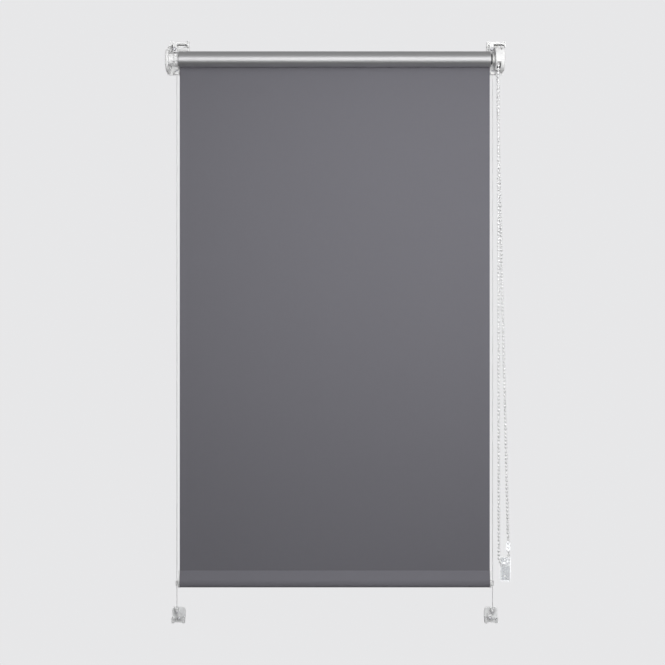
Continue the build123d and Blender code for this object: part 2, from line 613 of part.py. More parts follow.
def hem_outline(inset, top_half):
    """The drop-shaped section of the hem: narrow at its seam, oval round the bar."""
    half = HEM_HALF_THICKNESS - inset
    drop = HEM_BELLY_Z - HEM_BOTTOM_Z - inset
    top = HEM_TOP_Z - max(inset, 0)
    # the straight flanks meet the oval where they are tangent to it
    across, up = top_half / half, (top - HEM_BELLY_Z) / drop
    turn = math.asin(1 / math.hypot(across, up)) - math.atan2(across, up)
    side, shoulder = half * math.cos(turn), HEM_BELLY_Z + drop * math.sin(turn)
    flanks = make_face(Polyline(
        (SHEET_Y - top_half, top),
        (SHEET_Y - side, shoulder),
        (SHEET_Y + side, shoulder),
        (SHEET_Y + top_half, top),
        close=True,
    ))
    return flanks + Pos(SHEET_Y, HEM_BELLY_Z) * Ellipse(half, drop)


def fabric_sheet():
    """The hanging cloth, from the roll's back down to the hem."""
    return block(-HALF_WIDTH, HALF_WIDTH, SHEET_Y - CLOTH_THICKNESS / 2,
                 SHEET_Y + CLOTH_THICKNESS / 2, HEM_TOP_Z + GAP, AXIS_Z)


def hem_pocket():
    profile = hem_outline(0, CLOTH_THICKNESS) - hem_outline(CLOTH_THICKNESS, 0.05)
    return slab_x(profile, -HALF_WIDTH, HALF_WIDTH)


BAR_PLAY = 0.25
BAR_WALL = 0.9


def bar_section(inset):
    shrink = CLOTH_THICKNESS + BAR_PLAY + inset
    oval = Ellipse(HEM_HALF_THICKNESS - shrink, HEM_BELLY_Z - HEM_BOTTOM_Z - shrink)
    return Pos(SHEET_Y, HEM_BELLY_Z) * oval


def bottom_bar():
    """The oval hollow bar that weighs the cloth down."""
    length = HALF_WIDTH - 0.5
    return slab_x(bar_section(0) - bar_section(BAR_WALL), -length, length)


def end_cap(side):
    """A bar end cap with the eyelet that runs on the guide cord."""
    inner = HALF_WIDTH + 0.15
    x0, x1 = sorted((side * inner, side * (inner + 2.0)))
    cap = slab_x(hem_outline(-0.25, 0.8), x0, x1)
    t0, t1 = sorted((side * (HALF_WIDTH - 12), side * (inner + 0.1)))
    cap += slab_x(bar_section(BAR_WALL + 0.06), t0, t1)
    eyelet_x = side * CORD_X
    cap += rod_z(HEM_BOTTOM_Z + 3, HEM_BOTTOM_Z + 11, 2.0, eyelet_x, SHEET_Y)
    b0, b1 = sorted((side * (inner + 1.9), eyelet_x))
    cap += block(b0, b1, SHEET_Y - 1.4, SHEET_Y + 1.4, HEM_BOTTOM_Z + 3, HEM_BOTTOM_Z + 11)
    return cap - rod_z(HEM_BOTTOM_Z, HEM_BOTTOM_Z + 14, CORD_RADIUS + 0.2, eyelet_x, SHEET_Y)


# ---------------------------------------------------------------- guide cords and clips
SASH_BOTTOM_Z = -SASH_HEIGHT
CLIP_TOP_Z = SASH_BOTTOM_Z + CLIP_HEIGHT
FERRULE_RADIUS = 1.5
FERRULE_HEIGHT = 3.0
CLIP_SCREW_RADIUS = 1.5


def clip_body(side):
    """The plate of a bottom clip, with the nose that holds the guide cord's lower end."""
    x0, x1 = side * CLIP_MID_X - CLIP_WIDTH / 2 - 1.9, side * CLIP_MID_X + CLIP_WIDTH / 2 + 1.9
    body = block(x0, x1, PLATE_FRONT_Y, PLATE_BACK_Y, SASH_BOTTOM_Z + 1, CLIP_TOP_Z)
    body = fillet(body.edges().filter_by(Axis.Y).group_by(Axis.Z)[-1], 4.0)
    body += clamp_guide(side * CLIP_MID_X, CLIP_WIDTH, SASH_BOTTOM_Z, -1, -4.0)
    nose = block(side * CORD_X - 3, side * CORD_X + 3, SHEET_Y - 2.6, PLATE_FRONT_Y + 0.1,
                 CLIP_TOP_Z - 6, CLIP_TOP_Z - 1)
    nose = fillet(nose.edges().filter_by(Axis.Z).group_by(Axis.Y)[0], 2.0)
    body += nose
    return body - rod_z(CLIP_TOP_Z - 8, CLIP_TOP_Z + 1, CORD_RADIUS + FIT, side * CORD_X, SHEET_Y)


def guide_cord(side):
    """A tight cord from the bracket's nose to the bottom clip."""
    return rod_z(CLIP_TOP_Z - 6 - FERRULE_HEIGHT, ANCHOR_TOP_Z + FERRULE_HEIGHT, CORD_RADIUS,
                 side * CORD_X, SHEET_Y)


def cord_ferrule(side, low):
    """A crimped sleeve that keeps a guide cord's end from pulling through."""
    sleeve = rod_z(low, low + FERRULE_HEIGHT, FERRULE_RADIUS, side * CORD_X, SHEET_Y)
    sleeve = chamfer(sleeve.edges().filter_by(GeomType.CIRCLE), 0.3)
    return sleeve - rod_z(low - 1, low + FERRULE_HEIGHT + 1, CORD_RADIUS, side * CORD_X, SHEET_Y)


# ---------------------------------------------------------------- all pieces
parts = {}
for name, mid_x in HOOK_MID_X.items():
    screw_x = mid_x + CLAMP_SCREW_OFFSET
    parts["hook_" + name] = clamp_hook(mid_x, HOOK_WIDTH, screw_x, 2.0, 6.4, 0, 1)
    parts["hook_pad_" + name] = clamp_hook_pad(mid_x, HOOK_WIDTH, 0, 1)
    parts["clamp_screw_" + name] = pan_screw_y(screw_x, SCREW_S[1], PLATE_FRONT_Y - 0.05, 15.4,
                                               2.0, 2.7, 2.4)

for name, side in (("left", -1), ("right", 1)):
    screw_x = side * CLIP_SCREW_X
    parts["clip_jaw_" + name] = clamp_hook(side * CLIP_MID_X, CLIP_WIDTH, screw_x,
                                           CLIP_SCREW_RADIUS, 7.0, SASH_BOTTOM_Z, -1)
    parts["clip_jaw_pad_" + name] = clamp_hook_pad(side * CLIP_MID_X, CLIP_WIDTH, SASH_BOTTOM_Z, -1)
    parts["clip_screw_" + name] = pan_screw_y(screw_x, SASH_BOTTOM_Z - SCREW_S[-1],
                                              PLATE_FRONT_Y - 0.05, 15.4, CLIP_SCREW_RADIUS,
                                              2.5, 2.2)
    parts["clip_body_" + name] = clip_body(side)
    parts["clip_sash_pad_" + name] = sash_pad(side * CLIP_MID_X - CLIP_WIDTH / 2, side * CLIP_MID_X + CLIP_WIDTH / 2,
                                              SASH_BOTTOM_Z + 1.5, CLIP_TOP_Z - 2)
    parts["guide_cord_" + name] = guide_cord(side)
    parts["upper_ferrule_" + name] = cord_ferrule(side, ANCHOR_TOP_Z)
    parts["lower_ferrule_" + name] = cord_ferrule(side, CLIP_TOP_Z - 6 - FERRULE_HEIGHT)
    parts["end_cap_" + name] = end_cap(side)

parts["carrier_left"] = carrier_left()
parts["carrier_right"] = carrier_right()
parts["sash_pad_left"] = sash_pad(*SASH_PAD_X["left"], PLATE_BOTTOM_Z + 1, PLATE_TOP_Z - 1)
parts["sash_pad_right"] = sash_pad(*SASH_PAD_X["right"], PLATE_BOTTOM_Z + 1, PLATE_TOP_Z - 1)
parts["cord_anchor_left"] = cord_anchor(*CORD_ANCHOR_X["left"], -CORD_X)
parts["cord_anchor_right"] = cord_anchor(*CORD_ANCHOR_X["right"], CORD_X)
parts["idle_socket"] = idle_socket()
parts["idle_plug"] = idle_plug()
parts["idle_pin"] = idle_pin()
parts["idle_spring"] = idle_spring()
parts["tube"] = ring_x(-HALF_WIDTH, HALF_WIDTH, TUBE_RADIUS, TUBE_BORE)
parts["fabric_tape"] = fabric_tape()
parts["fabric_roll"] = ring_x(-HALF_WIDTH, HALF_WIDTH, ROLL_RADIUS, TUBE_RADIUS + TAPE_THICKNESS)
parts["drive_plug"] = drive_plug()
parts["sprocket"] = sprocket()
parts["drive_core"] = drive_core()
parts["core_clip"] = core_clip()
parts["clutch_springs"] = clutch_springs()
parts["housing_base"] = housing_base()
parts["housing_cover"] = housing_cover()
parts["housing_screws"] = housing_screws()
parts["bead_chain"] = bead_chain()
parts["chain_connector"] = chain_connector()
parts["tensioner_pad"] = tensioner_pad()
parts["tensioner_body"] = tensioner_body()
parts["tensioner_cover"] = tensioner_cover()
parts["fabric_sheet"] = fabric_sheet()
parts["hem_pocket"] = hem_pocket()
parts["bottom_bar"] = bottom_bar()

os.makedirs("parts", exist_ok=True)
for name, shape in parts.items():
    export_step(shape, "parts/" + name + ".step")

print("pieces", len(parts))
print("chain length", (2 * STRAND_PITCHES + SPROCKET_POCKETS // 2 + LOOP_PITCHES) * BEAD_PITCH)
print("feet of the chain's strands", FRONT_FOOT, BACK_FOOT)
print("back strand direction", (TOP_BACK - BACK_FOOT).normalized())
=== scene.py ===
import json
import math

import bmesh
import bpy
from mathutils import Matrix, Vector


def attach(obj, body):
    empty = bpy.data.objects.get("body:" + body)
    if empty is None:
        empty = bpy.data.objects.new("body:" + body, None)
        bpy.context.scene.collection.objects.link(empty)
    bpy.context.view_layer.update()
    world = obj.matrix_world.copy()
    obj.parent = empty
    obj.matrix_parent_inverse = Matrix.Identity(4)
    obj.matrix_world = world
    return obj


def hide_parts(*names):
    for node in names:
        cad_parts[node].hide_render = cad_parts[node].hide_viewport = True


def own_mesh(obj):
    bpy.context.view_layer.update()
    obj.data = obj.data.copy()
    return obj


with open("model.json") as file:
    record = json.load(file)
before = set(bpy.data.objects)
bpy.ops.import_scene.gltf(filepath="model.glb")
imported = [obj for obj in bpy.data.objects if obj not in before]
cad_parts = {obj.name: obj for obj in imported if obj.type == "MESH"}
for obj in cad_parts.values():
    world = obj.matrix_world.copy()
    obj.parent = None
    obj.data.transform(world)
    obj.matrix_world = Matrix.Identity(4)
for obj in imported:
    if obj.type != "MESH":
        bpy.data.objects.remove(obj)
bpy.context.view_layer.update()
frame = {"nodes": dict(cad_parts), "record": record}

# A chain-driven roller blind, clamped over a window sash, with cords that guide its
# bottom rail. Metres. X runs along the roll, -Y faces the room and Z is up.

MM = 0.001

# ---------------------------------------------------------------- driving sizes
HALF_WIDTH = 0.250
CLOTH_THICKNESS = 0.45 * MM
SHEET_Y = -10.125 * MM
AXIS_Y = -23 * MM
AXIS_Z = -26 * MM
ROLL_RADIUS = 12.35 * MM
ROLL_BORE = 8.74 * MM
HEM_TOP_Z = -848.8 * MM
HEM_BELLY_Z = -866.5 * MM
HEM_BOTTOM_Z = -875.5 * MM
HEM_HALF_THICKNESS = 4.5 * MM
SEAM_OVERLAP = 0.3 * MM

CORD_X = 254.5 * MM
CORD_TOP_Z = -41 * MM
CORD_BOTTOM_Z = -917 * MM
CORD_DIAMETER = 1.1 * MM

BEAD_RADIUS = 2.25 * MM
STRING_RADIUS = 0.6 * MM
SPROCKET_X = 261 * MM
SPROCKET_PITCH_RADIUS = 11.591 * MM
LOOP_CENTRE = Vector((273 * MM, -5.6 * MM, -829.6 * MM))
LOOP_RADIUS = 7.839 * MM
FRONT_FOOT = Vector((265.161 * MM, -5.6 * MM, -829.466 * MM))
BACK_FOOT = Vector((280.839 * MM, -5.6 * MM, -829.734 * MM))
STRAND_LINKS = 134


# ---------------------------------------------------------------- materials
class Look:
    """A material in the making: its shader, its object coordinates and the patterns on them."""

    def __init__(self, name, roughness=0.5, metallic=0.0, colour=(0.8, 0.8, 0.8), **fixed):
        self.material = bpy.data.materials.new(name)
        self.material.use_nodes = True
        self.tree = self.material.node_tree
        self.shader = self.tree.nodes["Principled BSDF"]
        self.place = self.node("ShaderNodeTexCoord").outputs["Object"]
        self.set("Base Color", (*colour, 1))
        self.set("Roughness", roughness)
        self.set("Metallic", metallic)
        for socket, value in fixed.items():
            self.set(socket.replace("_", " "), value)

    def node(self, kind, inputs=None, **settings):
        made = self.tree.nodes.new(kind)
        for key, value in settings.items():
            setattr(made, key, value)
        for key, value in (inputs or {}).items():
            self.feed(made.inputs[key], value)
        return made

    def feed(self, socket, value):
        if isinstance(value, bpy.types.NodeSocket):
            self.tree.links.new(value, socket)
        else:
            socket.default_value = value

    def set(self, socket, value):
        self.feed(self.shader.inputs[socket], value)

    def stretched(self, scale):
        return self.node("ShaderNodeMapping", {"Vector": self.place, "Scale": scale}).outputs[0]

    def noise(self, size, detail=2.0, stretch=(1, 1, 1)):
        """Cloudy noise whose features are about size metres across."""
        inputs = {"Vector": self.stretched(stretch), "Scale": 1 / size, "Detail": detail}
        return self.node("ShaderNodeTexNoise", inputs).outputs["Fac"]

    def cells(self, size):
        inputs = {"Vector": self.place, "Scale": 1 / size}
        return self.node("ShaderNodeTexVoronoi", inputs).outputs["Distance"]

    def waves(self, pitch, direction):
        inputs = {"Vector": self.place, "Scale": math.pi / (10 * pitch)}
        wave = self.node("ShaderNodeTexWave", inputs, bands_direction=direction)
        return wave.outputs["Fac"]

    def math(self, operation, a, b):
        return self.node("ShaderNodeMath", {0: a, 1: b}, operation=operation).outputs[0]

    def spread(self, factor, low, high):
        """A number that goes from low to high as factor goes from 0 to 1."""
        inputs = {"Value": factor, "To Min": low, "To Max": high}
        return self.node("ShaderNodeMapRange", inputs).outputs["Result"]

    def window(self, factor, start, end):
        """0 below start, 1 above end, and a straight slope between them."""
        inputs = {"Value": factor, "From Min": start, "From Max": end}
        return self.node("ShaderNodeMapRange", inputs).outputs["Result"]

    def mix(self, factor, low, high):
        made = self.node("ShaderNodeMix", data_type="RGBA")
        self.feed(made.inputs["Factor"], factor)
        for socket, value in ((made.inputs[6], low), (made.inputs[7], high)):
            self.feed(socket, (*value, 1) if isinstance(value, tuple) else value)
        return made.outputs[2]

    def bump(self, height, depth, strength=1.0, normal=None):
        inputs = {"Height": height, "Distance": depth, "Strength": strength}
        if normal is not None:
            inputs["Normal"] = normal
        return self.node("ShaderNodeBump", inputs).outputs["Normal"]

    def soft_edges(self, radius):
        return self.node("ShaderNodeBevel", {"Radius": radius}, samples=4).outputs["Normal"]

    def plain_weave(self, pitch):
        """Over-and-under threads on the X-Z plane, from 0 to 1."""
        warp = self.spread(self.waves(pitch, "X"), -1, 1)
        weft = self.spread(self.waves(pitch, "Z"), -1, 1)
        return self.spread(self.math("MULTIPLY", warp, weft), 0.5, 1.0)


def moulded(name, colour, roughness, grain=0.10 * MM, depth=0.012 * MM, tint=0.03, **fixed):
    """Injection-moulded plastic: fine spark texture, faint flow marks, softened edges."""
    look = Look(name, **fixed)
    dark = tuple(c * (1 - tint) for c in colour)
    flow = look.noise(9 * MM, 3.0, (1, 1, 0.35))
    look.set("Base Color", look.mix(look.window(flow, 0.35, 0.65), dark, colour))
    look.set("Roughness", look.spread(look.noise(3 * MM, 4.0), roughness - 0.07, roughness + 0.07))
    rounded = look.soft_edges(0.35 * MM)
    look.set("Normal", look.bump(look.noise(grain, 2.0), depth, 0.6, rounded))
    return look.material


def metal(name, colour, roughness, streak, depth, tint=0.10, bright_edges=0.3 * MM):
    """Plated or drawn metal with brushed streaks along the stretched axis."""
    look = Look(name, metallic=1.0)
    dark = tuple(c * (1 - tint) for c in colour)
    lines = look.noise(0.25 * MM, 3.0, streak)
    look.set("Base Color", look.mix(look.noise(4 * MM, 4.0), dark, colour))
    look.set("Roughness", look.spread(lines, roughness - 0.08, roughness + 0.10))
    look.set("Normal", look.bump(lines, depth, 0.7, look.soft_edges(bright_edges)))
    return look.material


def clear(name, colour, roughness, transmission, grain, depth):
    """Polycarbonate or frosted polypropylene."""
    look = Look(name, colour=colour, IOR=1.49, Transmission_Weight=transmission)
    look.set("Roughness", look.spread(look.noise(2 * MM, 3.0), roughness, roughness + 0.08))
    look.set("Normal", look.bump(look.noise(grain, 3.0), depth, 0.6, look.soft_edges(0.25 * MM)))
    return look.material


def cloth_front_look(name, painted_light_scale):
    """Anthracite side of a dim-out cloth: a dull plain weave with slubs. A lightness scale above 1 gives a
    lighter copy of the cloth, which is painted light.
    """
    def grey(level):
        return (level * 1.0, level * 0.985, level * 1.115)

    look = Look(name, roughness=0.86, Sheen_Weight=0.12, Sheen_Roughness=0.5)
    look.set("Specular IOR Level", 0.25)
    slubs = look.noise(0.9 * MM, 3.0, (0.08, 1, 1))
    ends = look.noise(0.9 * MM, 3.0, (1, 1, 0.08))
    threads = look.math("ADD", look.math("MULTIPLY", slubs, 0.5), look.math("MULTIPLY", ends, 0.5))
    base = look.mix(look.window(threads, 0.35, 0.65), grey(0.184 * painted_light_scale), grey(0.224 * painted_light_scale))
    clouds = look.window(look.noise(120 * MM, 2.0), 0.3, 0.7)
    base = look.mix(look.spread(clouds, 0.0, 0.12), base, grey(0.166 * painted_light_scale))
    weave = look.plain_weave(0.38 * MM)
    base = look.mix(look.spread(weave, 0.0, 0.16), grey(0.135 * painted_light_scale), base)
    look.set("Base Color", base)
    height = look.math("ADD", weave, look.math("MULTIPLY", threads, 0.8))
    look.set("Normal", look.bump(height, 0.05 * MM, 0.55))
    return look.material


def cloth_reverse_look():
    """Metallised side of the cloth, and so the outside of the roll: satin silver over a weave."""
    look = Look("cloth_reverse", metallic=0.93)
    clouds = look.window(look.noise(30 * MM, 3.0, (0.3, 1, 1)), 0.3, 0.7)
    look.set("Base Color", look.mix(clouds, (0.605, 0.605, 0.615), (0.63, 0.63, 0.64)))
    threads = look.noise(0.7 * MM, 3.0, (0.15, 1, 1))
    look.set("Roughness", look.spread(threads, 0.40, 0.48))
    height = look.math("ADD", look.plain_weave(0.38 * MM), look.math("MULTIPLY", threads, 0.7))
    look.set("Normal", look.bump(height, 0.012 * MM, 0.35))
    return look.material


def cut_edge_look():
    """The sealed, cut edge of the cloth, where its layers show."""
    look = Look("cloth_edge", roughness=0.7)
    fibres = look.noise(0.3 * MM, 4.0)
    look.set("Base Color", look.mix(fibres, (0.20, 0.20, 0.21), (0.46, 0.46, 0.47)))
    look.set("Normal", look.bump(fibres, 0.06 * MM, 0.6))
    return look.material


def foam_look():
    look = Look("foam_pad", roughness=0.95, Sheen_Weight=0.1)
    cells = look.cells(0.45 * MM)
    look.set("Base Color", look.mix(cells, (0.55, 0.55, 0.56), (0.80, 0.80, 0.80)))
    look.set("Normal", look.bump(cells, 0.12 * MM, 0.8))
    return look.material


def rubber_look():
    look = Look("grip_rubber", roughness=0.7)
    bloom = look.noise(2 * MM, 4.0)
    look.set("Base Color", look.mix(bloom, (0.40, 0.40, 0.41), (0.52, 0.52, 0.53)))
    look.set("Normal", look.bump(look.noise(0.15 * MM, 2.0), 0.03 * MM, 0.7))
    return look.material


def tape_look():
    look = Look("adhesive_tape", roughness=0.55, Coat_Weight=0.3)
    fibres = look.noise(0.5 * MM, 3.0, (0.05, 1, 1))
    look.set("Base Color", look.mix(fibres, (0.62, 0.60, 0.52), (0.78, 0.76, 0.68)))
    look.set("Normal", look.bump(fibres, 0.02 * MM, 0.5))
    return look.material


def cord_look():
    """Braided nylon: one set of slanted strands over a fine fuzz."""
    look = Look("guide_cord", roughness=0.45, Transmission_Weight=0.15, IOR=1.5)
    one = look.waves(0.9 * MM, "DIAGONAL")
    fuzz = look.noise(0.2 * MM, 3.0)
    look.set("Base Color", look.mix(one, (0.62, 0.62, 0.63), (0.86, 0.86, 0.87)))
    look.set("Normal", look.bump(look.math("ADD", one, fuzz), 0.08 * MM, 0.8))
    return look.material


LOOKS = {
    "white_plastic": moulded("white_plastic", (0.81, 0.81, 0.81), 0.36),
    "chain_plastic": moulded("chain_plastic", (0.84, 0.84, 0.845), 0.30, 0.2 * MM, 0.01 * MM),
    "acetal_plastic": moulded("acetal_plastic", (0.80, 0.80, 0.79), 0.28, 0.15 * MM),
    "dark_plastic": moulded("dark_plastic", (0.035, 0.035, 0.037), 0.42, tint=0.2),
    "clear_plastic": clear("clear_plastic", (0.93, 0.94, 0.95), 0.05, 0.92, 1.5 * MM, 0.01 * MM),
    "frosted_plastic": clear("frosted_plastic", (0.93, 0.935, 0.94), 0.34, 0.30, 0.12 * MM, 0.02 * MM),
    "zinc_steel": metal("zinc_steel", (0.70, 0.70, 0.73), 0.27, (1, 0.2, 1), 0.01 * MM),
    "spring_steel": metal("spring_steel", (0.42, 0.42, 0.44), 0.30, (0.1, 1, 1), 0.01 * MM, 0.2),
    "tube_steel": metal("tube_steel", (0.62, 0.62, 0.64), 0.34, (0.03, 1, 1), 0.02 * MM, 0.2),
    "bar_aluminium": metal("bar_aluminium", (0.78, 0.78, 0.79), 0.33, (0.02, 1, 1), 0.02 * MM),
    "cloth_front": cloth_front_look("cloth_front", 1.0),
    "cloth_reverse": cloth_reverse_look(),
    "foam_pad": foam_look(),
    "grip_rubber": rubber_look(),
    "adhesive_tape": tape_look(),
    "guide_cord": cord_look(),
}
CUT_EDGE = cut_edge_look()
# Painted light: the hem's front uses a copy of the front cloth made 18% lighter. The copy stands in for
# the extra light that the hem's upturned face catches.
HEM_FRONT_PAINTED_LIGHT = cloth_front_look("hem_front_painted_light", 1.18)
FRONT, BACK = LOOKS["cloth_front"], LOOKS["cloth_reverse"]

SLOTS = {part["node"]: part["material_slot"] for part in frame["record"]["subparts"]}
BODY_OF = {
    node: body for body, nodes in frame["record"]["behaviour"]["bodies"].items() for node in nodes
}
for node, carried in frame["nodes"].items():
    carried.data.materials.clear()
    carried.data.materials.append(LOOKS[SLOTS[node]])
    if SLOTS[node] == "clear_plastic":
        carried.visible_shadow = False


# ---------------------------------------------------------------- building meshes
def finish_piece(name, bm, materials, replaced, sharp_degrees=35):
    """Turns a bmesh into a smooth-shaded piece that stands for the replaced CAD nodes."""
    bmesh.ops.recalc_face_normals(bm, faces=bm.faces)
    for face in bm.faces:
        face.smooth = True
    for edge in bm.edges:
        flat = len(edge.link_faces) == 2
        edge.smooth = flat and edge.calc_face_angle(0) < math.radians(sharp_degrees)
    mesh = bpy.data.meshes.new(name)
    bm.to_mesh(mesh)
    bm.free()
    for material in materials:
        mesh.materials.append(material)
    piece = bpy.data.objects.new(name, mesh)
    bpy.context.scene.collection.objects.link(piece)
    return stand_for(piece, replaced)


def stand_for(piece, replaced):
    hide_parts(*replaced)
    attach(piece, BODY_OF[replaced[0]])
    return piece


def skin(bm, rows, material, closed_rows=False, closed_columns=False):
    """Quads between neighbouring rows of vertices."""
    count = len(rows) if closed_rows else len(rows) - 1
    for i in range(count):
        a, b = rows[i], rows[(i + 1) % len(rows)]
        width = len(a) if closed_columns else len(a) - 1
        for j in range(width):
            k = (j + 1) % len(a)
            face = bm.faces.new((a[j], a[k], b[k], b[j]))
            face.material_index = material


def steps(low, high, count):
    return [low + (high - low) * i / count for i in range(count + 1)]


# ---------------------------------------------------------------- hanging cloth
RIPPLE_DEPTH = 0.30 * MM
PUCKER_DEPTH = 0.05 * MM


def cloth_ripple(x, z):
    """How far the cloth swings off its plane: nothing at the roll, the hem and the cords."""
    down = (AXIS_Z - z) / (AXIS_Z - HEM_TOP_Z)
    hold = math.sin(math.pi * min(max(down, 0), 1)) ** 0.8
    side = 1 - (abs(x) / HALF_WIDTH) ** 6
    wave = math.sin(17 * x + 2.2 * down) + 0.5 * math.sin(39 * x - 3.1 * down + 1.0)
    return RIPPLE_DEPTH * wave * hold * side


def cloth_sheet():
    bm = bmesh.new()
    xs = steps(-HALF_WIDTH, HALF_WIDTH, 120)
    zs = steps(AXIS_Z, HEM_TOP_Z + SEAM_OVERLAP, 190)
    half = CLOTH_THICKNESS / 2
    sides = []
    for offset in (-half, half):
        rows = []
        for z in zs:
            line = [Vector((x, SHEET_Y + cloth_ripple(x, z) + offset, z)) for x in xs]
            rows.append([bm.verts.new(point) for point in line])
        sides.append(rows)
    front, back = sides
    skin(bm, front, 0)
    skin(bm, back, 1)
    skin(bm, [front[0], back[0]], 2)
    skin(bm, [front[-1], back[-1]], 2)
    for column in (0, -1):
        skin(bm, [[row[column] for row in front], [row[column] for row in back]], 2)
    return finish_piece("cloth_sheet", bm, (FRONT, BACK, CUT_EDGE), ["fabric_sheet"])


def hem_section(inset):
    """Half outline of the hem pocket: (distance from its mid plane, height), top to bottom."""
    half, drop = HEM_HALF_THICKNESS - inset, HEM_BELLY_Z - HEM_BOTTOM_Z - inset
    neck = max(CLOTH_THICKNESS - inset, 0.02 * MM)
    across, up = neck / half, (HEM_TOP_Z - HEM_BELLY_Z) / drop
    turn = math.asin(1 / math.hypot(across, up)) - math.atan2(across, up)
    side, shoulder = half * math.cos(turn), HEM_BELLY_Z + drop * math.sin(turn)
    flank = zip(steps(neck, side, 6), steps(HEM_TOP_Z + SEAM_OVERLAP, shoulder, 6))
    angles = steps(turn, -math.pi / 2, 16)[1:]
    return [*flank, *((half * math.cos(a), HEM_BELLY_Z + drop * math.sin(a)) for a in angles)]


def hem_ring(inset):
    half = hem_section(inset)
    front = [(SHEET_Y - across, z) for across, z in half]
    back = [(SHEET_Y + across, z) for across, z in reversed(half[:-1])]
    return front + back


def hem_pocket():
    """The folded and welded pocket at the foot of the cloth."""
    bm = bmesh.new()
    xs = steps(-HALF_WIDTH, HALF_WIDTH, 80)
    rings = []
    for inset in (0.0, CLOTH_THICKNESS):
        outline = hem_ring(inset)
        rows = []
        for x in xs:
            pucker = PUCKER_DEPTH * math.sin(x * 900)
            row = []
            for y, z in outline:
                near_weld = max(0, 1 - abs(z - HEM_TOP_Z + 2 * MM) / (3 * MM))
                row.append(bm.verts.new((x, y + pucker * near_weld, z)))
            rows.append(row)
        rings.append(rows)
    outer, inner = rings
    skin(bm, outer, 0)
    skin(bm, inner, 1)
    for side in (0, -1):
        skin(bm, [outer[side], inner[side]], 2)
    for seam in (0, -1):
        skin(bm, [[row[seam] for row in outer], [row[seam] for row in inner]], 2)
    # The hem's outside takes the lighter cloth copy, which is painted light.
    return finish_piece("cloth_hem", bm, (HEM_FRONT_PAINTED_LIGHT, BACK, CUT_EDGE), ["hem_pocket"])


# ---------------------------------------------------------------- roll
LEAVE_RADIUS = 13.1 * MM
LAP = 2.4
TURN = 2 * math.pi
ROLL_FACE_X = HALF_WIDTH - 0.45 * MM
ROLL_WAVES = ((0.010 * MM, 31, 2), (0.006 * MM, 83, 1))    # depth, along the roll, round it


def layer_radius(theta):
    """Radius of the wound cloth's outer face, theta back from where it leaves the roll."""
    if theta < TURN:
        return ROLL_RADIUS + (LEAVE_RADIUS - ROLL_RADIUS) * max(0, 1 - theta / LAP) ** 2
    return max(ROLL_RADIUS - CLOTH_THICKNESS * (theta / TURN - 1), ROLL_BORE)


def cloth_roll():
    """The cloth wound on its tube, reverse side out, with its layers showing at both ends."""
    bm = bmesh.new()
    per_turn = 90
    turns = 1 + math.ceil((ROLL_RADIUS - ROLL_BORE) / CLOTH_THICKNESS)
    across = ((0.0, 0.0), (0.18, 0.16), (0.5, 0.2), (0.82, 0.16), (1.0, 0.0))

    def point(x, radius, theta):
        return bm.verts.new((x, AXIS_Y + radius * math.cos(theta), AXIS_Z + radius * math.sin(theta)))

    for end in (-1, 1):
        rows = []
        for i in range(turns * per_turn + 1):
            theta = TURN * i / per_turn
            outer, inner = layer_radius(theta), layer_radius(theta + TURN)
            stagger = 0.12 * MM * math.sin(2.3 * theta) + 0.1 * MM * math.sin(0.77 * theta)
            row = []
            for share, rise in across:
                x = end * (ROLL_FACE_X + rise * MM + stagger)
                row.append(point(x, outer + (inner - outer) * share, theta))
            rows.append(row)
        skin(bm, rows, 1)
    rows = []
    for i in range(per_turn + 1):
        theta = TURN * i / per_turn
        row = []
        for x in steps(-ROLL_FACE_X, ROLL_FACE_X, 60):
            wave = sum(depth * math.sin(along * x + around * theta) for depth, along, around in ROLL_WAVES)
            hold = min(1, theta, TURN - theta)
            row.append(point(x, layer_radius(theta) + wave * hold, theta))
        rows.append(row)
    skin(bm, rows, 0)
    skin(bm, [rows[0], rows[-1]], 0)
    bore = []
    for x in (-ROLL_FACE_X, ROLL_FACE_X):
        bore.append([point(x, ROLL_BORE, TURN * i / per_turn) for i in range(per_turn)])
    skin(bm, bore, 0, closed_columns=True)
    return finish_piece("cloth_roll", bm, (BACK, CUT_EDGE), ["fabric_roll"], 50)


# ---------------------------------------------------------------- cords and chain
def guide_cord(side, name):
    curve = bpy.data.curves.new("guide_cord_" + name, "CURVE")
    curve.dimensions = "3D"
    curve.bevel_depth = CORD_DIAMETER / 2
    curve.bevel_resolution = 4
    curve.resolution_u = 12
    spline = curve.splines.new("NURBS")
    heights = steps(CORD_TOP_Z, CORD_BOTTOM_Z, 5)
    spline.points.add(len(heights) - 1)
    for control, z in zip(spline.points, heights):
        control.co = (side * CORD_X, SHEET_Y, z, 1)
    spline.order_u = 3
    spline.use_endpoint_u = True
    curve.use_fill_caps = True
    curve.materials.append(LOOKS["guide_cord"])
    cord = bpy.data.objects.new("taut_cord_" + name, curve)
    bpy.context.scene.collection.objects.link(cord)
    stand_for(cord, ["guide_cord_" + name])
    return cord


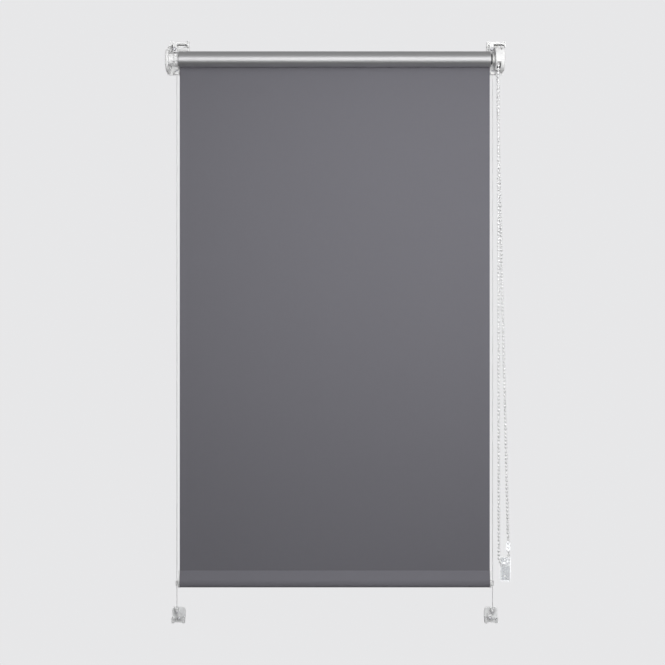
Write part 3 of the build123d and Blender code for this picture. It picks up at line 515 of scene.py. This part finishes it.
def bead_places():
    """Bead centres round the whole loop, from the sprocket's top down the front strand."""
    centre = Vector((SPROCKET_X, AXIS_Y, AXIS_Z))
    places = []

    def over_top(angle):
        turn = math.radians(angle)
        places.append(centre + SPROCKET_PITCH_RADIUS * Vector((0, math.cos(turn), math.sin(turn))))

    for angle in (90, 120, 150):
        over_top(angle)
    top_front = centre + Vector((0, -SPROCKET_PITCH_RADIUS, 0))
    top_back = centre + Vector((0, SPROCKET_PITCH_RADIUS, 0))
    for i in range(STRAND_LINKS):
        places.append(top_front.lerp(FRONT_FOOT, i / STRAND_LINKS))
    start = math.atan2(FRONT_FOOT.z - LOOP_CENTRE.z, FRONT_FOOT.x - LOOP_CENTRE.x)
    for k in range(4):
        turn = start + k * math.pi / 4
        places.append(LOOP_CENTRE + LOOP_RADIUS * Vector((math.cos(turn), 0, math.sin(turn))))
    for i in range(STRAND_LINKS):
        places.append(BACK_FOOT.lerp(top_back, i / STRAND_LINKS))
    for angle in (0, 30, 60):
        over_top(angle)
    return places


def frame_along(direction):
    """Two directions across a link, one of them as near to X as can be."""
    side = Vector((1, 0, 0)) - direction * direction.x
    if side.length < 0.3:
        side = Vector((0, 1, 0)) - direction * direction.y
    side.normalize()
    return side, direction.cross(side)


CORD_SIDES = 8


def bead_chain():
    """Moulded beads on a cord. Each bead has the thin flash line of its mould and two necks."""
    bm = bmesh.new()
    places = bead_places()
    count = len(places)
    around, stacks = 16, 10
    cord_rows = []
    for k, centre in enumerate(places):
        along = (places[(k + 1) % count] - places[k - 1]).normalized()
        side, up = frame_along(along)

        def ring(radius, height, flash):
            row = []
            for j in range(around):
                turn = TURN * j / around
                bulge = 1 + (flash if j % (around // 2) == 0 else 0)
                spread = side * math.cos(turn) + up * math.sin(turn)
                row.append(bm.verts.new(centre + along * height + spread * radius * bulge))
            return row

        rows = [ring(0.75 * MM, -2.55 * MM, 0)]
        for i in range(stacks + 1):
            tilt = math.radians(-68 + 136 * i / stacks)
            rows.append(ring(BEAD_RADIUS * math.cos(tilt), BEAD_RADIUS * math.sin(tilt), 0.03))
        rows.append(ring(0.75 * MM, 2.55 * MM, 0))
        skin(bm, rows, 0, closed_columns=True)
        bm.faces.new(rows[0])
        bm.faces.new(rows[-1])
        turns = [TURN * j / CORD_SIDES for j in range(CORD_SIDES)]
        spokes = [side * math.cos(turn) + up * math.sin(turn) for turn in turns]
        cord_rows.append([bm.verts.new(centre + STRING_RADIUS * spoke) for spoke in spokes])
    for k in range(count):
        a, b = cord_rows[k], cord_rows[(k + 1) % count]

        def twist(shift):
            return sum((a[j].co - b[(j + shift) % CORD_SIDES].co).length for j in range(CORD_SIDES))

        shift = min(range(CORD_SIDES), key=twist)
        skin(bm, [a, b[shift:] + b[:shift]], 0, closed_columns=True)
    chain = finish_piece("ball_chain", bm, (LOOKS["chain_plastic"],), ["bead_chain"], 50)
    return chain


# ---------------------------------------------------------------- pads and springs
def copied(node, name):
    piece = bpy.data.objects.new(name, frame["nodes"][node].data.copy())
    bpy.context.scene.collection.objects.link(piece)
    return piece


def soft_pad(node, voxel, passes):
    """A pad with the slack, rounded edges of cut foam or rubber."""
    piece = copied(node, node + "_soft")
    remesh = piece.modifiers.new("cells", "REMESH")
    remesh.mode = "VOXEL"
    remesh.voxel_size = voxel
    smooth = piece.modifiers.new("slack", "SMOOTH")
    smooth.iterations = passes
    smooth.factor = 0.5
    final = bpy.data.meshes.new_from_object(piece.evaluated_get(bpy.context.evaluated_depsgraph_get()))
    piece.modifiers.clear()
    piece.data = final
    final.name = piece.name
    final.materials.clear()
    final.materials.append(LOOKS[SLOTS[node]])
    final.polygons.foreach_set("use_smooth", [True] * len(final.polygons))
    stand_for(piece, [node])
    return piece


def idle_spring():
    """The pin's spring, which shortens as the pin goes in, copied onto a mesh of its own that nothing here
    reshapes.
    """
    node = "idle_spring"
    piece = copied(node, "idle_coil")
    stand_for(piece, [node])
    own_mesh(piece)
    return piece


guide_cord(-1, "left")
guide_cord(1, "right")
bead_chain()
roll = cloth_roll()
hem = hem_pocket()
sheet = cloth_sheet()
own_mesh(sheet)
for side in ("left", "right"):
    soft_pad("sash_pad_" + side, 0.25 * MM, 3)
    soft_pad("hook_pad_" + side, 0.22 * MM, 4)
    soft_pad("clip_jaw_pad_" + side, 0.18 * MM, 4)
    soft_pad("clip_sash_pad_" + side, 0.2 * MM, 3)
soft_pad("tensioner_pad", 0.16 * MM, 3)
idle_spring()

# ---------------------------------------------------------------- floor, light and camera
FLOOR_Z = -1.5
FLOOR_RADIUS = 1.5
bm = bmesh.new()
bmesh.ops.create_circle(bm, cap_ends=True, segments=96, radius=FLOOR_RADIUS)
floor_mesh = bpy.data.meshes.new("floor")
bm.to_mesh(floor_mesh)
bm.free()
floor_look = Look("floor", roughness=0.9)
floor_look.set("Base Color", floor_look.mix(floor_look.noise(0.4), (0.76, 0.76, 0.76), (0.80, 0.80, 0.80)))
floor_mesh.materials.append(floor_look.material)
floor = bpy.data.objects.new("floor", floor_mesh)
floor.location.z = FLOOR_Z
bpy.context.scene.collection.objects.link(floor)
floor.visible_glossy = False
floor.visible_diffuse = False


def softbox(name, place, target, size, power, glossy=True, diffuse=True):
    light = bpy.data.lights.new(name, "AREA")
    light.shape = "RECTANGLE"
    light.size, light.size_y = size
    light.energy = power
    lamp = bpy.data.objects.new(name, light)
    bpy.context.scene.collection.objects.link(lamp)
    lamp.location = place
    lamp.rotation_euler = (Vector(target) - Vector(place)).to_track_quat("-Z", "Y").to_euler()
    lamp.visible_camera = False
    lamp.visible_glossy = glossy
    lamp.visible_diffuse = diffuse
    return lamp


MIDDLE = (0, 0, -0.45)
softbox("key", (0.2, -2.65, -0.40), (0, 0, -0.20), (3.0, 2.5), 37, diffuse=False)
softbox("wash", (0.6, -2.4, 0.3), (0, 0, -0.20), (3.0, 2.4), 15, glossy=False)
softbox("fill", (0.20, -0.95, -0.20), (0.16, 0, -0.20), (0.8, 0.6), 8.6, glossy=False)
softbox("rear", (0, 2.6, 0.1), MIDDLE, (3.4, 3.0), 34)
softbox("top", (0, 0, 1.8), MIDDLE, (2.0, 2.0), 8, glossy=False)

SURROUND_LOW, SURROUND_HIGH = 0.09, 0.30    # light from below and from above
BACKDROP = (0.80, 0.80, 0.81, 1)

world = bpy.data.worlds.new("studio")
bpy.context.scene.world = world
world.use_nodes = True
nodes, links = world.node_tree.nodes, world.node_tree.links
ambient = nodes["Background"]
sky = nodes.new("ShaderNodeTexCoord")
height = nodes.new("ShaderNodeSeparateXYZ")
links.new(sky.outputs["Generated"], height.inputs[0])
shade = nodes.new("ShaderNodeMapRange")
shade.inputs["From Min"].default_value = -0.5
shade.inputs["From Max"].default_value = 0.4
shade.inputs["To Min"].default_value = SURROUND_LOW
shade.inputs["To Max"].default_value = SURROUND_HIGH
links.new(height.outputs["Z"], shade.inputs["Value"])
links.new(shade.outputs["Result"], ambient.inputs["Color"])
pale = nodes.new("ShaderNodeBackground")
pale.inputs["Color"].default_value = BACKDROP
path = nodes.new("ShaderNodeLightPath")
seen = nodes.new("ShaderNodeMath")
seen.operation = "MAXIMUM"
links.new(path.outputs["Is Camera Ray"], seen.inputs[0])
links.new(path.outputs["Is Transmission Ray"], seen.inputs[1])
choose = nodes.new("ShaderNodeMixShader")
links.new(seen.outputs[0], choose.inputs["Fac"])
links.new(ambient.outputs[0], choose.inputs[1])
links.new(pale.outputs[0], choose.inputs[2])
links.new(choose.outputs[0], nodes["World Output"].inputs["Surface"])

bpy.context.scene.view_settings.view_transform = "Standard"

CAMERA_DISTANCE = 2.3
VIEW_WIDTH = 1.0726
lens = bpy.data.cameras.new("camera")
lens.sensor_width = 36
lens.lens = 36 * CAMERA_DISTANCE / VIEW_WIDTH
camera = bpy.data.objects.new("camera", lens)
camera.location = (-3.6 * MM, -10 * MM - CAMERA_DISTANCE, -464.4 * MM)
camera.rotation_euler = (math.pi / 2, 0, 0)
bpy.context.scene.collection.objects.link(camera)
bpy.context.scene.camera = camera
